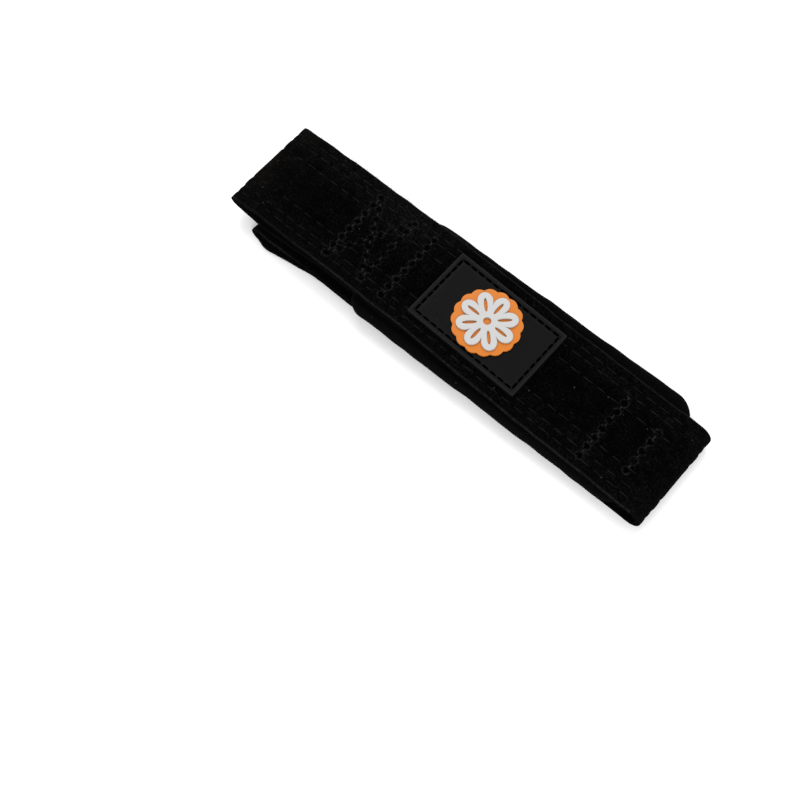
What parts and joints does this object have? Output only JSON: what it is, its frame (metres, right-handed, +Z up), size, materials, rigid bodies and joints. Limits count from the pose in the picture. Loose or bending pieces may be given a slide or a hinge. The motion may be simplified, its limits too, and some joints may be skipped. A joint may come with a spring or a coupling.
{
  "type": "weightlifting strap",
  "caption": "Flat suede lifting strap folded for storage, with a sewn hand loop, a foam wrist pad and a moulded rubber patch.",
  "frame": {"origin": "middle of the bounding box, on the surface that the folded strap lies on", "axes": "+X along the folded strap from the hand loop's fold to the far bend, +Y across it, +Z up out of the patch"},
  "size_m": [0.191, 0.0504, 0.0183],
  "materials": {
    "suede": "deep black velvety suede with light grey stitching",
    "foam": "dark grey cloth-faced foam, matt and finely speckled",
    "rubber_black": "charcoal moulded rubber, satin",
    "rubber_orange": "orange moulded rubber, satin",
    "rubber_white": "white moulded rubber, satin"
  },
  "bodies": {
    "root": {"suede_strap": "suede", "wrist_pad": "foam", "rubber_patch": "rubber_black", "rosette_ground": "rubber_orange", "rosette_relief": "rubber_white"}
  },
  "joints": []
}
